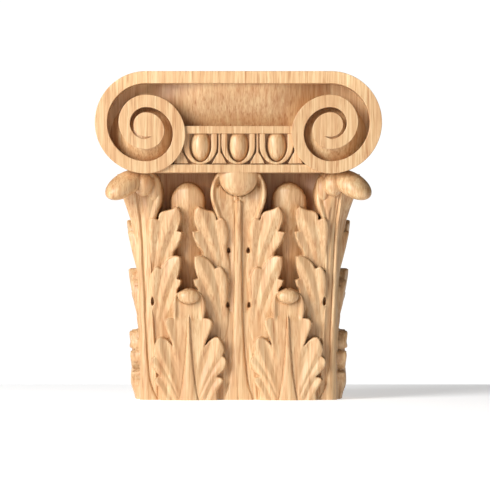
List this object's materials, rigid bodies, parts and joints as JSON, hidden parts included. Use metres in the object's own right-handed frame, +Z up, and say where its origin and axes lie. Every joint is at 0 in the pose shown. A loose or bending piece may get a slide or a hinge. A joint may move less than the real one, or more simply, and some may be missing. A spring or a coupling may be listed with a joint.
{
  "type": "composite pilaster capital, carved wood",
  "caption": "Carved wooden pilaster capital with a pair of scrolls, a strip of egg-and-dart and tiers of acanthus leaves, flat behind for fixing to a wall or post.",
  "frame": {"origin": "middle of the footprint of the whole piece, on its flat underside", "axes": "+Z up from the underside to the flat top, carved front looks along -Y, flat back on the +Y side, +X to the viewer's right and the piece is symmetric across X = 0"},
  "size_m": [0.2, 0.082, 0.23],
  "materials": {
    "wood": "sanded bare wood with a light satin seal"
  },
  "bodies": {
    "root": {"capital": "wood"}
  },
  "joints": []
}
